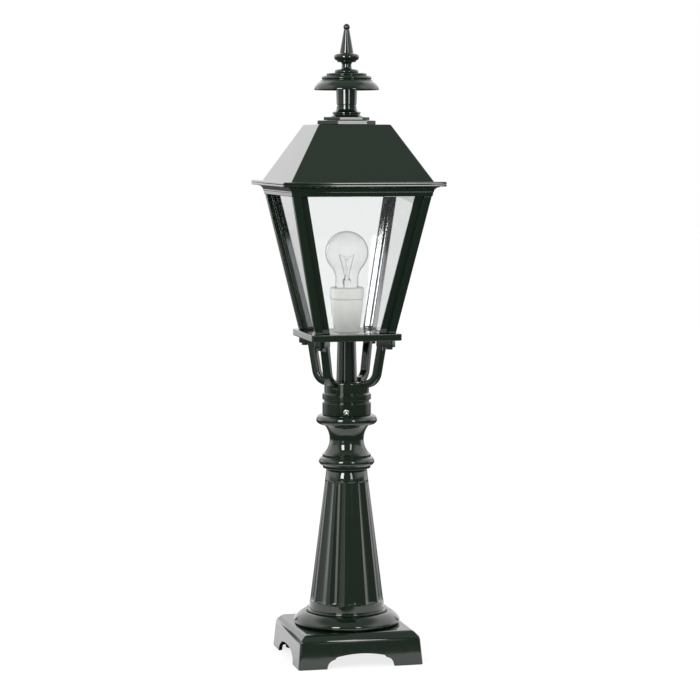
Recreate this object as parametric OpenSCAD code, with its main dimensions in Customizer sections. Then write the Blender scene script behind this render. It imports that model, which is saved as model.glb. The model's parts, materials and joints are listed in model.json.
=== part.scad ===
// Pedestal lantern: a square glazed lamp head on a fluted cast column and an arched plinth.
// Millimetres, Z up, front towards -Y, origin on the ground at the centre of the plinth.

/* [Plinth] */
// Half width of the plinth where it meets the ground
plinth_half = 88.3; // [87:0.1:100]
// Height of the plinth
plinth_h = 46.7; // [44:0.1:50]
// Wall thickness of the plinth casting
plinth_wall = 5; // [3:0.5:8]
// Half width of the arch at the ground
arch_half = 47.8; // [40:0.1:52]
// Height of the arch crown
arch_h = 19.6; // [18:0.1:26]
// Distance between neighbouring anchor holes
anchor_pitch = 130; // [126:1:134]
// Radius of the tapped anchor holes
anchor_r = 4; // [2.5:0.5:5]

/* [Column] */
// Shaft radius at the lower end of the flutes
shaft_r_low = 51.6; // [50:0.1:52.5]
// Shaft radius at the upper end of the flutes
shaft_r_high = 30.3; // [28:0.1:30.4]
// Height of the lower end of the flutes
flute_z_low = 79; // [78.5:0.5:95]
// Height of the upper end of the flutes
flute_z_high = 249; // [180:0.5:249]
// Number of flutes
flutes = 12; // [8:1:16]

/* [Swivel] */
// Radius of the spigot on the capital
spigot_r = 27; // [24:0.1:28]
// Radial running gap of the collar on the spigot
swivel_gap = 0.08; // [0.02:0.01:0.1]

/* [Lantern body] */
// Half width of the glazed body at its foot
body_half_low = 56.5; // [54:0.1:58]
// Half width of the glazed body at its head
body_half_high = 96.4; // [92:0.1:97]
// Width of the square corner bar of a post
post_bar = 10.5; // [8:0.1:12]
// Width of the glazing flange beside the bar
post_flange = 11; // [9:0.1:12]
// Thickness of a glass pane
pane_t = 2.5; // [2:0.1:3]

/* [Roof] */
// Half width of the eave
eave_half = 113; // [108:0.5:113]
// Half width of the roof slope at its foot
roof_half_low = 98.3; // [96:0.1:104]
// Half width of the roof slope at its head
roof_half_high = 50.6; // [49.8:0.1:56]
// Height of the roof top
roof_top_z = 744.8; // [744:0.1:745]

/* [Chimney] */
// Radius of the smoke dish
dish_r = 45.4; // [44:0.1:47]
// Radius of the ball on the finial
ball_r = 4.6; // [3.9:0.1:6]

/* [Lamp] */
// Radius of the bulb
bulb_r = 30; // [26:0.5:32]
// Height of the centre of the bulb
bulb_z = 568; // [564:0.5:572]
// Radius of the porcelain ring on the lampholder
holder_r = 23.75; // [23:0.05:24.5]

/* [Hidden] */
$fn = 96;

draft_half = plinth_half - 3.4;
plinth_edge_r = 8.6;
plinth_roof_z = plinth_h - 6;
seat_z = 51.2;
seat_r = 75;
tube_r = 8;
tube_bore_r = 6;
tube_hole_r = tube_r + 0.3;
nut_r = 13;

column_top_z = 264.5;
flute_r = 25;

capital_top_z = 341.2;
spigot_top_z = 374;
hub_low_z = 341.5;
hub_top_z = 388;
collar_bore_r = spigot_r + swivel_gap;
screw_angle = 256;
screw_z = 347.5;

frame_half = 63.5;
frame_low_z = 448.4;
body_low_z = 457.9;
body_high_z = 647.5;
body_slope = (body_half_high - body_half_low) / (body_high_z - body_low_z);
flange_depth = 7;
flange_t = 2.6;
pane_near = flange_depth + flange_t;
pane_far = pane_near + pane_t;
pane_inset = pane_far + 0.5;
strip_t = 1.2;
strip_near = 13.8;
strip_far = 20.8;

pad_reach = 76.7;
pad_hole_reach = 69.5;
arm_w = 11.5;
arm_t = 11;
arm_lean = 10.8;
elbow_r = 24.5;
elbow_reach = 30.9;
elbow_z = 404.6;
pad_low_z = 438.6;

crown_low_z = 660.8;
crown_high_z = 663.8;
crown_opening = 82;
eave_z = 664.1;
eave_t = 3.2;
deck_half = 49.6;
deck_t = 3.2;
hinge_y = 116.5;
hinge_z = 664;
hinge_r = 3;
hinge_half = 34;
knuckle_half = 12;

rod_r = 3;
rod_hole_r = 3.1;
vent_r = 11;
cap_z = 792.4;
cap_top_z = 815.5;
finial_z = 815.5;

holder_floor_z = body_low_z;
shell_r = 14.2;
cap_r = 13.1;
cap_foot_z = 492;
neck_r = 15.9;
neck_z = 519;

green = [0.06, 0.14, 0.10];
steel = [0.72, 0.73, 0.74];
bright = [0.80, 0.81, 0.82];
brass = [0.80, 0.64, 0.30];
porcelain = [0.93, 0.93, 0.90];
clear = [0.85, 0.92, 0.92, 0.35];
black = [0.05, 0.05, 0.05];

function flute_depth(r, half_angle) =
    r * (1 - cos(half_angle)) + flute_r - sqrt(pow(flute_r, 2) - pow(r * sin(half_angle), 2));

function wall(z) = body_half_low + (z - body_low_z) * body_slope;

// A square moulding: the same upright profile run along X and along Y, mitred at the corners.
module squared(span = 300) {
    intersection() {
        rotate([90, 0, 0]) linear_extrude(span, center = true) children();
        rotate([90, 0, 90]) linear_extrude(span, center = true) children();
    }
}

module trapezoid(low, high, z_low, z_high) {
    polygon([[-low, z_low], [low, z_low], [high, z_high], [-high, z_high]]);
}

module band(r, z_low, z_high) {
    translate([0, z_low]) square([r, z_high - z_low]);
}

module bead(r, z_low, z_high) {
    half = (z_high - z_low) / 2;
    translate([r - half, z_low + half]) circle(half);
    band(r - half, z_low, z_high);
}

// Upright strip that leans with the glazed body, a and b measured inwards from its outer face.
module lean_strip(a, b, z_low, z_high) {
    polygon([
        [wall(z_low) - b, z_low],
        [wall(z_low) - a, z_low],
        [wall(z_high) - a, z_high],
        [wall(z_high) - b, z_high]
    ]);
}

module lean_bar(xa, xb, ya, yb, z_low, z_high) {
    intersection() {
        rotate([90, 0, 0]) linear_extrude(260, center = true) lean_strip(xa, xb, z_low, z_high);
        rotate([90, 0, 90]) linear_extrude(260, center = true) lean_strip(ya, yb, z_low, z_high);
    }
}

module hex_nut(r, h, hole) {
    difference() {
        cylinder(r = r, h = h, $fn = 6);
        translate([0, 0, -1]) cylinder(r = hole, h = h + 2);
    }
}

// ---- pedestal ----

module plinth_profile() {
    polygon([
        [-plinth_half, 0],
        [plinth_half, 0],
        [draft_half, plinth_h - plinth_edge_r],
        [draft_half - plinth_edge_r, plinth_h],
        [-draft_half + plinth_edge_r, plinth_h],
        [-draft_half, plinth_h - plinth_edge_r]
    ]);
    for (s = [-1, 1]) {
        translate([s * (draft_half - plinth_edge_r), plinth_h - plinth_edge_r]) circle(plinth_edge_r);
    }
}

module arch_profile() {
    corner_r = 12.8;
    shoulder = 34;
    shoulder_h = arch_h - 3.8;
    crown_r = (pow(shoulder, 2) + pow(3.8, 2)) / (2 * 3.8);
    for (s = [-1, 1]) {
        translate([s * (arch_half - corner_r), 0]) circle(corner_r);
    }
    translate([corner_r - arch_half, -10]) square([2 * (arch_half - corner_r), 10 + corner_r]);
    intersection() {
        translate([0, arch_h - crown_r]) circle(crown_r, $fn = 360);
        translate([-shoulder, 0]) square([2 * shoulder, arch_h + 1]);
    }
}

module plinth() {
    color(green)
    difference() {
        union() {
            squared() plinth_profile();
            translate([0, 0, plinth_h - 1]) cylinder(r = seat_r, h = seat_z - plinth_h + 1);
        }
        difference() {
            squared() trapezoid(plinth_half - plinth_wall, draft_half - plinth_wall, -1, plinth_roof_z);
            for (x = [-1, 1], y = [-1, 1]) {
                translate([x * anchor_pitch / 2, y * anchor_pitch / 2, -2]) cylinder(r = 9, h = plinth_h);
            }
        }
        for (a = [0, 90]) {
            rotate([90, 0, a]) linear_extrude(400, center = true) arch_profile();
        }
        for (x = [-1, 1], y = [-1, 1]) {
            translate([x * anchor_pitch / 2, y * anchor_pitch / 2, -1]) cylinder(r = anchor_r, h = 26);
        }
        cylinder(r = tube_hole_r, h = 100);
    }
}

module column_outline() {
    intersection() {
        translate([47, 34.9]) circle(32.5, $fn = 180);
        translate([0, seat_z]) square([90, 64.8 - seat_z]);
    }
    translate([0, seat_z]) square([58, 14]);
    bead(57.8, 64.5, 68.4);
    polygon([
        [0, seat_z], [52.6, seat_z], [52.6, 78.2], [shaft_r_low, flute_z_low],
        [shaft_r_high, flute_z_high], [30.4, 249.7], [28.9, column_top_z], [0, column_top_z]
    ]);
}

module flute_cut() {
    half_angle = 12;
    low = flute_depth(shaft_r_low, half_angle);
    high = flute_depth(shaft_r_high, half_angle);
    lean = atan((shaft_r_low - low - shaft_r_high + high) / (flute_z_high - flute_z_low));
    intersection() {
        translate([shaft_r_low - low + flute_r, 0, flute_z_low])
        rotate([0, -lean, 0])
        cylinder(r = flute_r, h = (flute_z_high - flute_z_low) / cos(lean));
        translate([0, 0, 60])
        linear_extrude(200)
        polygon([[0, 0], [90, -90 * tan(170 / flutes)], [90, 90 * tan(170 / flutes)]]);
    }
}

module column() {
    color(green)
    difference() {
        rotate_extrude() column_outline();
        for (k = [0 : flutes - 1]) {
            rotate([0, 0, 90 + k * 360 / flutes]) flute_cut();
        }
        translate([0, 0, seat_z - 1]) cylinder(r1 = 42, r2 = 20, h = column_top_z - seat_z + 2);
    }
}

module capital() {
    color(green)
    rotate_extrude()
    difference() {
        union() {
            band(28.6, column_top_z, 267);
            band(33.4, 266, 270.5);
            bead(39.1, 270.2, 282);
            band(34, 281.5, 286.5);
            difference() {
                band(34, 286, 329);
                translate([53, 307.2]) circle(29, $fn = 180);
            }
            bead(42.9, 328, capital_top_z);
            band(spigot_r, capital_top_z - 1, spigot_top_z);
        }
        translate([-1, column_top_z - 1]) square([19, 104.5]);
        translate([-1, column_top_z - 1]) square([1 + tube_hole_r, 200]);
    }
}

module stay_tube() {
    color(steel)
    translate([0, 0, 30])
    difference() {
        cylinder(r = tube_r, h = 351.5);
        translate([0, 0, -1]) cylinder(r = tube_bore_r, h = 354);
    }
}

module stay_nut_low() {
    color(steel) translate([0, 0, 32.2]) hex_nut(nut_r, 7, tube_r + 0.1);
}

module stay_nut_high() {
    color(steel) translate([0, 0, spigot_top_z]) hex_nut(nut_r, 6, tube_r + 0.1);
}

module stay_washer() {
    color(steel)
    translate([0, 0, 39.2])
    difference() {
        cylinder(r = 17, h = plinth_roof_z - 39.2);
        translate([0, 0, -1]) cylinder(r = tube_hole_r, h = 5);
    }
}

// ---- swivelling head ----

module arm_profile() {
    leg_t = arm_t - 0.2;
    leg_x = elbow_r - arm_t + 0.1;
    translate([elbow_reach, elbow_z]) {
        intersection() {
            difference() {
                circle(elbow_r);
                circle(elbow_r - arm_t);
            }
            polygon([
                [0, 0],
                [60 * cos(arm_lean), -60 * sin(arm_lean)],
                [60, -60],
                [0, -60]
            ]);
        }
        rotate(-arm_lean) translate([leg_x, -1]) square([leg_t, 42]);
        rotate(-90) translate([leg_x, -3]) square([leg_t, 4]);
    }
    translate([51, pad_low_z]) square([pad_reach - 51, frame_low_z - pad_low_z]);
}

module arm() {
    difference() {
        rotate([90, 0, 0]) linear_extrude(arm_w, center = true) arm_profile();
        translate([pad_hole_reach, 0, 430]) cylinder(r = 2.6, h = 30);
    }
}

module set_screw_at(k) {
    rotate([0, 0, screw_angle + 120 * k])
    translate([0, 0, screw_z])
    rotate([0, 90, 0])
    children();
}

module arm_bracket() {
    color(green)
    difference() {
        union() {
            rotate_extrude()
            union() {
                band(34.1, hub_low_z, 358.5);
                band(31.6, 358, 364);
                band(34.2, 363, 371);
                band(31.5, 370, hub_top_z - 2);
                band(29.5, 370, hub_top_z);
                translate([29.5, hub_top_z - 2]) circle(2);
            }
            for (k = [0 : 3]) {
                rotate([0, 0, 45 + 90 * k]) arm();
            }
        }
        translate([0, 0, hub_low_z - 1]) cylinder(r = collar_bore_r, h = 384 - hub_low_z + 1);
        translate([0, 0, 380]) cylinder(r = 9, h = 20);
        for (k = [0 : 2]) {
            set_screw_at(k) translate([0, 0, 20]) cylinder(r = 3.1, h = 30);
        }
    }
}

module set_screw() {
    color(bright)
    difference() {
        union() {
            translate([0, 0, 27.8]) cylinder(r = 3, h = 7);
            translate([0, 0, 34.2]) cylinder(r = 4.2, h = 1.6);
        }
        translate([0, 0, 33]) cylinder(r = 2.2, h = 5, $fn = 6);
    }
}

module set_screw_1() {
    set_screw_at(0) set_screw();
}

module set_screw_2() {
    set_screw_at(1) set_screw();
}

module set_screw_3() {
    set_screw_at(2) set_screw();
}

module lead_sleeve() {
    color(green)
    difference() {
        translate([0, 0, hub_top_z]) cylinder(r1 = 14.5, r2 = 12.8, h = 455.4 - hub_top_z);
        translate([0, 0, hub_top_z - 1]) cylinder(r = 9, h = 80);
    }
}

module bottom_frame() {
    color(green)
    difference() {
        squared() trapezoid(frame_half, frame_half, frame_low_z, body_low_z);
        squared() trapezoid(40, 40, frame_low_z - 1, body_low_z + 1);
        squared() trapezoid(43, 43, 455.4, body_low_z + 1);
        for (k = [0 : 3]) {
            rotate([0, 0, 45 + 90 * k]) translate([pad_hole_reach, 0, 440]) cylinder(r = 2.6, h = 15);
        }
    }
}

module floor_plate() {
    color(green)
    difference() {
        squared() trapezoid(42.8, 42.8, 455.4, body_low_z);
        translate([0, 0, 450]) cylinder(r = 6, h = 10);
        for (x = [-10, 10]) {
            translate([x, 0, 450]) cylinder(r = 1.8, h = 10);
        }
    }
}

module pad_screw(k) {
    color(steel)
    rotate([0, 0, 45 + 90 * k])
    translate([pad_hole_reach, 0, 0])
    difference() {
        union() {
            translate([0, 0, 435.6]) cylinder(r = 4.5, h = 3);
            translate([0, 0, 438]) cylinder(r = 2.5, h = 16);
        }
        translate([0, 0, 435]) cylinder(r = 2, h = 2.2, $fn = 6);
    }
}

module pad_screw_1() {
    pad_screw(0);
}

module pad_screw_2() {
    pad_screw(1);
}

module pad_screw_3() {
    pad_screw(2);
}

module pad_screw_4() {
    pad_screw(3);
}

module post() {
    color(green)
    union() {
        lean_bar(0, post_bar, 0, post_bar, body_low_z, body_high_z);
        lean_bar(post_bar - 1, post_bar + post_flange, flange_depth, pane_near, body_low_z, body_high_z);
        lean_bar(flange_depth, pane_near, post_bar - 1, post_bar + post_flange, body_low_z, body_high_z);
    }
}

module post_rear_right() {
    post();
}

module post_rear_left() {
    rotate([0, 0, 90]) post();
}

module post_front_left() {
    rotate([0, 0, 180]) post();
}

module post_front_right() {
    rotate([0, 0, 270]) post();
}

module pane() {
    color(clear)
    intersection() {
        rotate([90, 0, 90])
        linear_extrude(260, center = true) lean_strip(pane_near, pane_far, body_low_z, body_high_z);
        rotate([90, 0, 0])
        linear_extrude(260, center = true)
        trapezoid(wall(body_low_z) - pane_inset, wall(body_high_z) - pane_inset, body_low_z, body_high_z);
    }
}

module pane_rear() {
    pane();
}

module pane_left() {
    rotate([0, 0, 90]) pane();
}

module pane_front() {
    rotate([0, 0, 180]) pane();
}

module pane_right() {
    rotate([0, 0, 270]) pane();
}

module strip_right_hand() {
    color(bright)
    lean_bar(strip_near, strip_far, pane_far, pane_far + strip_t, body_low_z + 4, body_high_z - 3);
}

module strip_left_hand() {
    color(bright)
    rotate([0, 0, 90])
    lean_bar(pane_far, pane_far + strip_t, strip_near, strip_far, body_low_z + 4, body_high_z - 3);
}

module strip_rear_1() {
    strip_right_hand();
}

module strip_rear_2() {
    strip_left_hand();
}

module strip_left_1() {
    rotate([0, 0, 90]) strip_right_hand();
}

module strip_left_2() {
    rotate([0, 0, 90]) strip_left_hand();
}

module strip_front_1() {
    rotate([0, 0, 180]) strip_right_hand();
}

module strip_front_2() {
    rotate([0, 0, 180]) strip_left_hand();
}

module strip_right_1() {
    rotate([0, 0, 270]) strip_right_hand();
}

module strip_right_2() {
    rotate([0, 0, 270]) strip_left_hand();
}

module crown_outline() {
    difference() {
        polygon([
            [-97.6, body_high_z], [97.6, body_high_z], [98.6, 653.2], [105.6, 653.2],
            [105.6, crown_low_z], [eave_half, crown_low_z], [eave_half, crown_high_z],
            [-eave_half, crown_high_z], [-eave_half, crown_low_z], [-105.6, crown_low_z],
            [-105.6, 653.2], [-98.6, 653.2]
        ]);
        for (s = [-1, 1]) {
            translate([s * 105.6, 653.2]) circle(7);
        }
    }
}

module top_frame() {
    color(green)
    difference() {
        squared() crown_outline();
        squared() trapezoid(crown_opening, crown_opening, body_high_z - 1, crown_high_z + 1);
    }
}

// ---- hinge ----

module hinge_barrel(x_low, x_high) {
    translate([x_low, hinge_y, hinge_z])
    rotate([0, 90, 0])
    cylinder(r = hinge_r, h = x_high - x_low);
}

module hinge_bore() {
    translate([-60, hinge_y, hinge_z]) rotate([0, 90, 0]) cylinder(r = 1.55, h = 120);
}

module hinge_leaf_fixed() {
    color(green)
    difference() {
        union() {
            hinge_barrel(-hinge_half, -knuckle_half - 0.3);
            hinge_barrel(knuckle_half + 0.3, hinge_half);
            for (x = [-hinge_half, knuckle_half + 0.3]) {
                translate([x, hinge_y - 3, 659.2]) cube([hinge_half - knuckle_half - 0.3, 3, 4]);
            }
            translate([-hinge_half, 106.5, 659.2]) cube([2 * hinge_half, 9.5, crown_low_z - 659.2]);
        }
        hinge_bore();
    }
}

module hinge_leaf_moving() {
    color(green)
    difference() {
        union() {
            hinge_barrel(-knuckle_half, knuckle_half);
            translate([-knuckle_half, hinge_y - 3, hinge_z + 1]) cube([2 * knuckle_half, 3, 4.8]);
            translate([-hinge_half, 101, eave_z + eave_t]) cube([2 * hinge_half, 12, 1.5]);
            translate([-knuckle_half, 101, eave_z + eave_t]) cube([2 * knuckle_half, 15.5, 1.5]);
        }
        hinge_bore();
    }
}

module hinge_pin() {
    color(bright)
    union() {
        translate([-hinge_half - 1, hinge_y, hinge_z])
        rotate([0, 90, 0])
        cylinder(r = 1.5, h = 2 * hinge_half + 2);
        for (x = [-hinge_half - 1.5, hinge_half + 0.3]) {
            translate([x, hinge_y, hinge_z]) rotate([0, 90, 0]) cylinder(r = 2.4, h = 1.2);
        }
    }
}

// ---- lifting roof ----

module roof_outline() {
    shoulder_z = eave_z + eave_t;
    polygon([
        [-eave_half, eave_z], [eave_half, eave_z], [eave_half, shoulder_z], [roof_half_low, shoulder_z],
        [roof_half_high, roof_top_z], [-roof_half_high, roof_top_z], [-roof_half_low, shoulder_z],
        [-eave_half, shoulder_z]
    ]);
}

module roof_inside() {
    half_low = roof_half_low - 3;
    shoulder_z = eave_z + eave_t;
    polygon([
        [-half_low, eave_z - 1], [half_low, eave_z - 1], [half_low, shoulder_z],
        [deck_half, roof_top_z - deck_t], [deck_half, roof_top_z + 1], [-deck_half, roof_top_z + 1],
        [-deck_half, roof_top_z - deck_t], [-half_low, shoulder_z]
    ]);
}

module roof_side(turn) {
    color(green)
    difference() {
        intersection() {
            squared() roof_outline();
            rotate([0, 0, turn])
            translate([0, 0, eave_z - 1])
            linear_extrude(100)
            polygon([[0, 0], [130, 130], [-130, 130]]);
        }
        squared() roof_inside();
    }
}

module roof_rear() {
    roof_side(0);
}

module roof_left() {
    roof_side(90);
}

module roof_front() {
    roof_side(180);
}

module roof_right() {
    roof_side(270);
}

module roof_deck() {
    color(green)
    difference() {
        translate([-deck_half, -deck_half, roof_top_z - deck_t]) {
            cube([2 * deck_half, 2 * deck_half, deck_t]);
        }
        translate([0, 0, roof_top_z - 10]) cylinder(r = 22, h = 20);
    }
}

module chimney() {
    color(green)
    difference() {
        union() {
            translate([0, 0, roof_top_z]) cylinder(r = 41.5, h = 5.6, $fn = 6);
            translate([0, 0, roof_top_z + 5]) cylinder(r = 31.2, h = 1.6, $fn = 6);
            translate([0, 0, roof_top_z + 6.2]) cylinder(r = 32.7, h = 4.2, $fn = 6);
            rotate_extrude()
            union() {
                polygon([[0, 755], [22.5, 755], [20, 758], [18, 759], [0, 759]]);
                bead(19.8, 758.8, 762.8);
                polygon([[0, 762], [15.6, 762], [15.4, 763.5], [13.65, 770], [0, 770]]);
                band(13.2, 769.5, 773);
                polygon([[0, 772.4], [14.1, 772.4], [14.6, 796], [0, 796]]);
            }
        }
        translate([0, 0, roof_top_z - 1]) cylinder(r = vent_r, h = 60);
        for (a = [0, 90]) {
            rotate([0, 0, 45 + a]) translate([-20, -4, 792.6]) cube([40, 8, 4]);
        }
    }
}

module smoke_cap() {
    color(green)
    difference() {
        rotate_extrude()
        difference() {
            union() {
                intersection() {
                    translate([dish_r - 17, 788.3]) circle(18);
                    translate([0, cap_z]) square([60, 13.2]);
                }
                band(37.6, cap_z, 805.6);
                bead(35, 805.2, 811.8);
                band(33.4, 805.2, 811.8);
                bead(28.6, 811.4, cap_top_z);
            }
            intersection() {
                translate([dish_r - 17.8, 787]) circle(16.6);
                translate([0, cap_z - 1]) square([60, 9.6]);
            }
            translate([-1, cap_z - 1]) square([33, 9.6]);
        }
        cylinder(r = rod_hole_r, h = 900);
    }
    color(green)
    difference() {
        translate([0, 0, 796]) cylinder(r = 14.6, h = 6);
        cylinder(r = rod_hole_r, h = 900);
    }
}

module finial() {
    color(green)
    difference() {
        rotate_extrude()
        union() {
            bead(16.6, finial_z, 820.4);
            band(6.8, 820, 831.2);
            band(13.5, 830.8, 833.8);
            bead(17.5, 832.8, 842.3);
            polygon([[0, 841.8], [9.7, 841.8], [9.7, 842.7], [3.9, 875.8], [0, 875.8]]);
            intersection() {
                translate([0, 878.9]) circle(ball_r);
                translate([0, 870]) square([10, 20]);
            }
        }
        translate([0, 0, 800]) cylinder(r = rod_hole_r, h = 50);
    }
}

module finial_rod() {
    color(steel) translate([0, 0, 731]) cylinder(r = rod_r, h = 117);
}

module clamp_bar() {
    color(steel)
    difference() {
        translate([-31, -7, roof_top_z - 6.2]) cube([62, 14, 3]);
        cylinder(r = rod_hole_r, h = 900);
    }
}

module rod_nut() {
    color(steel) translate([0, 0, roof_top_z - 11.2]) hex_nut(5.8, 5, rod_hole_r);
}

// ---- lampholder and lamp ----

module holder_body() {
    color(porcelain)
    difference() {
        rotate_extrude()
        difference() {
            polygon([
                [0, holder_floor_z], [17.7, holder_floor_z], [18.4, 462], [19.7, 475],
                [21.7, 489], [22.4, 498], [22.4, 502.8], [0, 502.8]
            ]);
            translate([-1, 484]) square([19, 30]);
            translate([-1, 472]) square([14, 30]);
        }
        translate([0, 0, 450]) cylinder(r = 4, h = 40);
        for (x = [-10, 10]) {
            translate([x, 0, 450]) cylinder(r = 1.8, h = 40);
        }
    }
}

module holder_ring() {
    color(porcelain)
    rotate_extrude()
    difference() {
        union() {
            band(holder_r, 503.4, 518.6);
            band(holder_r - 1.4, 503, 520);
            translate([holder_r - 1.4, 518.6]) circle(1.4);
        }
        translate([-1, 500]) square([18.2, 30]);
    }
}

module thread_shell() {
    color(brass)
    difference() {
        translate([0, 0, 484]) cylinder(r = shell_r, h = 32);
        translate([0, 0, 484.6]) cylinder(r = cap_r + 0.5, h = 40);
        translate([0, 0, 480]) cylinder(r = 6.5, h = 40);
    }
}

module contact() {
    color(brass)
    union() {
        translate([0, 0, 487]) cylinder(r = 3.4, h = 4.7);
        translate([-4.5, -2, 472]) cube([1.2, 4, 15.8]);
        translate([-4.5, -2, 487]) cube([6, 4, 0.8]);
    }
}

module holder_screw(side) {
    color(steel)
    translate([side * 10, 0, 0])
    difference() {
        union() {
            translate([0, 0, 455.4]) cylinder(r = 1.6, h = 17);
            translate([0, 0, 472]) cylinder(r = 2.8, h = 2);
        }
        translate([-3, -0.4, 473.2]) cube([6, 0.8, 2]);
    }
}

module holder_screw_1() {
    holder_screw(-1);
}

module holder_screw_2() {
    holder_screw(1);
}

module bulb_outline(skin, fillet_r) {
    r = bulb_r - skin;
    n = neck_r - skin;
    fr = fillet_r + skin;
    fz = bulb_z - sqrt(pow(r + fr, 2) - pow(n + fr, 2));
    tangent = (bulb_z - fz) * r / (r + fr);
    difference() {
        union() {
            intersection() {
                translate([0, bulb_z]) circle(r, $fn = 180);
                translate([0, bulb_z - r]) square([r, 2 * r]);
            }
            translate([0, neck_z]) square([n, bulb_z - neck_z]);
            polygon([
                [n, fz], [n + fr, fz], [(n + fr) * r / (r + fr), bulb_z - tangent], [0, bulb_z], [0, fz]
            ]);
        }
        translate([n + fr, fz]) circle(fr, $fn = 180);
    }
}

module bulb_glass() {
    color(clear)
    rotate_extrude($fn = 180)
    difference() {
        bulb_outline(0, 26);
        bulb_outline(0.8, 26);
    }
}

module bulb_cap() {
    color(bright)
    difference() {
        union() {
            translate([0, 0, 497]) cylinder(r = cap_r, h = neck_z - 497);
            translate([0, 0, 493.4]) cylinder(r1 = 6, r2 = 10.5, h = 3.8);
            translate([0, 0, cap_foot_z]) cylinder(r = 4.5, h = 2);
        }
        translate([0, 0, 499]) cylinder(r = cap_r - 0.8, h = 40);
    }
}

module bulb_stem() {
    color(clear)
    difference() {
        rotate_extrude()
        union() {
            band(4.6, neck_z - 6, 531);
            polygon([[0, 531], [4.6, 531], [1.7, 536], [0, 536]]);
            band(1.7, 535, 556);
            intersection() {
                translate([0, 557]) circle(2.4);
                translate([0, 550]) square([5, 10]);
            }
        }
        lamp_wires();
    }
}

module wire(from, to, r = 0.35) {
    d = to - from;
    len = norm(d);
    translate(from)
    rotate([0, acos(d[2] / len), atan2(d[1], d[0])])
    cylinder(r = r, h = len, $fn = 16);
}

module lamp_wires() {
    for (s = [-1, 1]) {
        wire([s * 2.4, 0, 530], [s * 10.5, 0, 565]);
        wire([s * 10.5, 0, 564.8], [s * 5.4, -3.4, 561.6], 0.3);
        wire([s * 1.2, -0.4, 557], [s * 5.4, -3.4, 561.8], 0.2);
    }
    wire([-5.4, -3.4, 561.6], [5.4, -3.4, 561.6], 0.3);
}

module filament() {
    color(steel) lamp_wires();
}

module supply_lead() {
    color(black) translate([0, 0, 10]) cylinder(r = 3.2, h = 462);
}

plinth();
column();
capital();
stay_tube();
stay_nut_low();
stay_nut_high();
stay_washer();
set_screw_1();
set_screw_2();
set_screw_3();
arm_bracket();
lead_sleeve();
bottom_frame();
floor_plate();
pad_screw_1();
pad_screw_2();
pad_screw_3();
pad_screw_4();
post_rear_right();
post_rear_left();
post_front_left();
post_front_right();
pane_rear();
pane_left();
pane_front();
pane_right();
strip_rear_1();
strip_rear_2();
strip_left_1();
strip_left_2();
strip_front_1();
strip_front_2();
strip_right_1();
strip_right_2();
top_frame();
hinge_leaf_fixed();
hinge_leaf_moving();
hinge_pin();
roof_rear();
roof_left();
roof_front();
roof_right();
roof_deck();
chimney();
smoke_cap();
finial();
finial_rod();
clamp_bar();
rod_nut();
holder_body();
holder_ring();
thread_shell();
contact();
holder_screw_1();
holder_screw_2();
bulb_glass();
bulb_cap();
bulb_stem();
filament();
supply_lead();
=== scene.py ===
import json
import math

import bmesh
import bpy
from mathutils import Euler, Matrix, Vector

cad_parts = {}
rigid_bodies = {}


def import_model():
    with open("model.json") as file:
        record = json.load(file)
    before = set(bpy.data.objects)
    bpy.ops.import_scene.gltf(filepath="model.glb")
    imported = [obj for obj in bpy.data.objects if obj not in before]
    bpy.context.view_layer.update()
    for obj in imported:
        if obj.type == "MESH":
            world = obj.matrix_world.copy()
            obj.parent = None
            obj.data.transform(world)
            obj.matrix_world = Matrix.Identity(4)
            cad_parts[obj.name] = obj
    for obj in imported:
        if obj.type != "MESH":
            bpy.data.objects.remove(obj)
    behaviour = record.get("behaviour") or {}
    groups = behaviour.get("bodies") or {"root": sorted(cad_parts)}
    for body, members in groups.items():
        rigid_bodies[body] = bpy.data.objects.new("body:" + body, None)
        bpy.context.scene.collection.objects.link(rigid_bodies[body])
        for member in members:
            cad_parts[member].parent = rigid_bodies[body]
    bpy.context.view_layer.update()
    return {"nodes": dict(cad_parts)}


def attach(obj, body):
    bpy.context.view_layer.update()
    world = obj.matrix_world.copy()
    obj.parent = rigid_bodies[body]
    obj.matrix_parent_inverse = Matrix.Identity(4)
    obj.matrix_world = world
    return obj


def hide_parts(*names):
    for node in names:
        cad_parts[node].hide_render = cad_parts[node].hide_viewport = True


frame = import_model()

MM = 0.001

# ---------------------------------------------------------------- camera and light

# The view's two angles, then the camera's distance, height and sideways offset in metres
YAW = math.radians(13.34)
PITCH = math.radians(5.049)
DISTANCE, HEIGHT, SIDE = 3.305, 0.7235, 0.00469
TOWARDS = Vector((-math.sin(YAW), -math.cos(YAW), 0.0))
ACROSS = Vector((math.cos(YAW), -math.sin(YAW), 0.0))

camera_data = bpy.data.cameras.new("camera")
camera_data.lens = 122.2
camera_data.sensor_width = 36.0
camera_data.clip_end = 60.0
camera = bpy.data.objects.new("camera", camera_data)
camera.location = TOWARDS * DISTANCE + ACROSS * SIDE + Vector((0, 0, HEIGHT))
camera.rotation_euler = Euler((math.pi / 2 - PITCH, 0.0, -YAW))
bpy.context.scene.collection.objects.link(camera)
bpy.context.scene.camera = camera

view_settings = bpy.context.scene.view_settings
view_settings.view_transform = "Standard"
view_settings.look = "None"
view_settings.exposure = 0.0
view_settings.gamma = 1.0


def area_light(name, spot, width, height, radiance):
    """A rectangular light that shines straight down until it is turned."""
    data = bpy.data.lights.new(name, "AREA")
    data.shape = "RECTANGLE"
    data.size = width
    data.size_y = height
    data.energy = radiance * math.pi * width * height
    lamp = bpy.data.objects.new(name, data)
    lamp.location = spot
    lamp.visible_camera = False
    bpy.context.scene.collection.objects.link(lamp)
    return lamp


def softbox(name, azimuth, distance, z, width, height, radiance):
    """An upright light at an azimuth from the camera's side, positive to the camera's right."""
    a = math.radians(azimuth)
    away = TOWARDS * math.cos(a) + ACROSS * math.sin(a)
    lamp = area_light(name, away * distance + Vector((0, 0, z)), width, height, radiance)
    lamp.rotation_euler = (-away).to_track_quat("-Z", "Y").to_euler()
    return lamp


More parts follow.
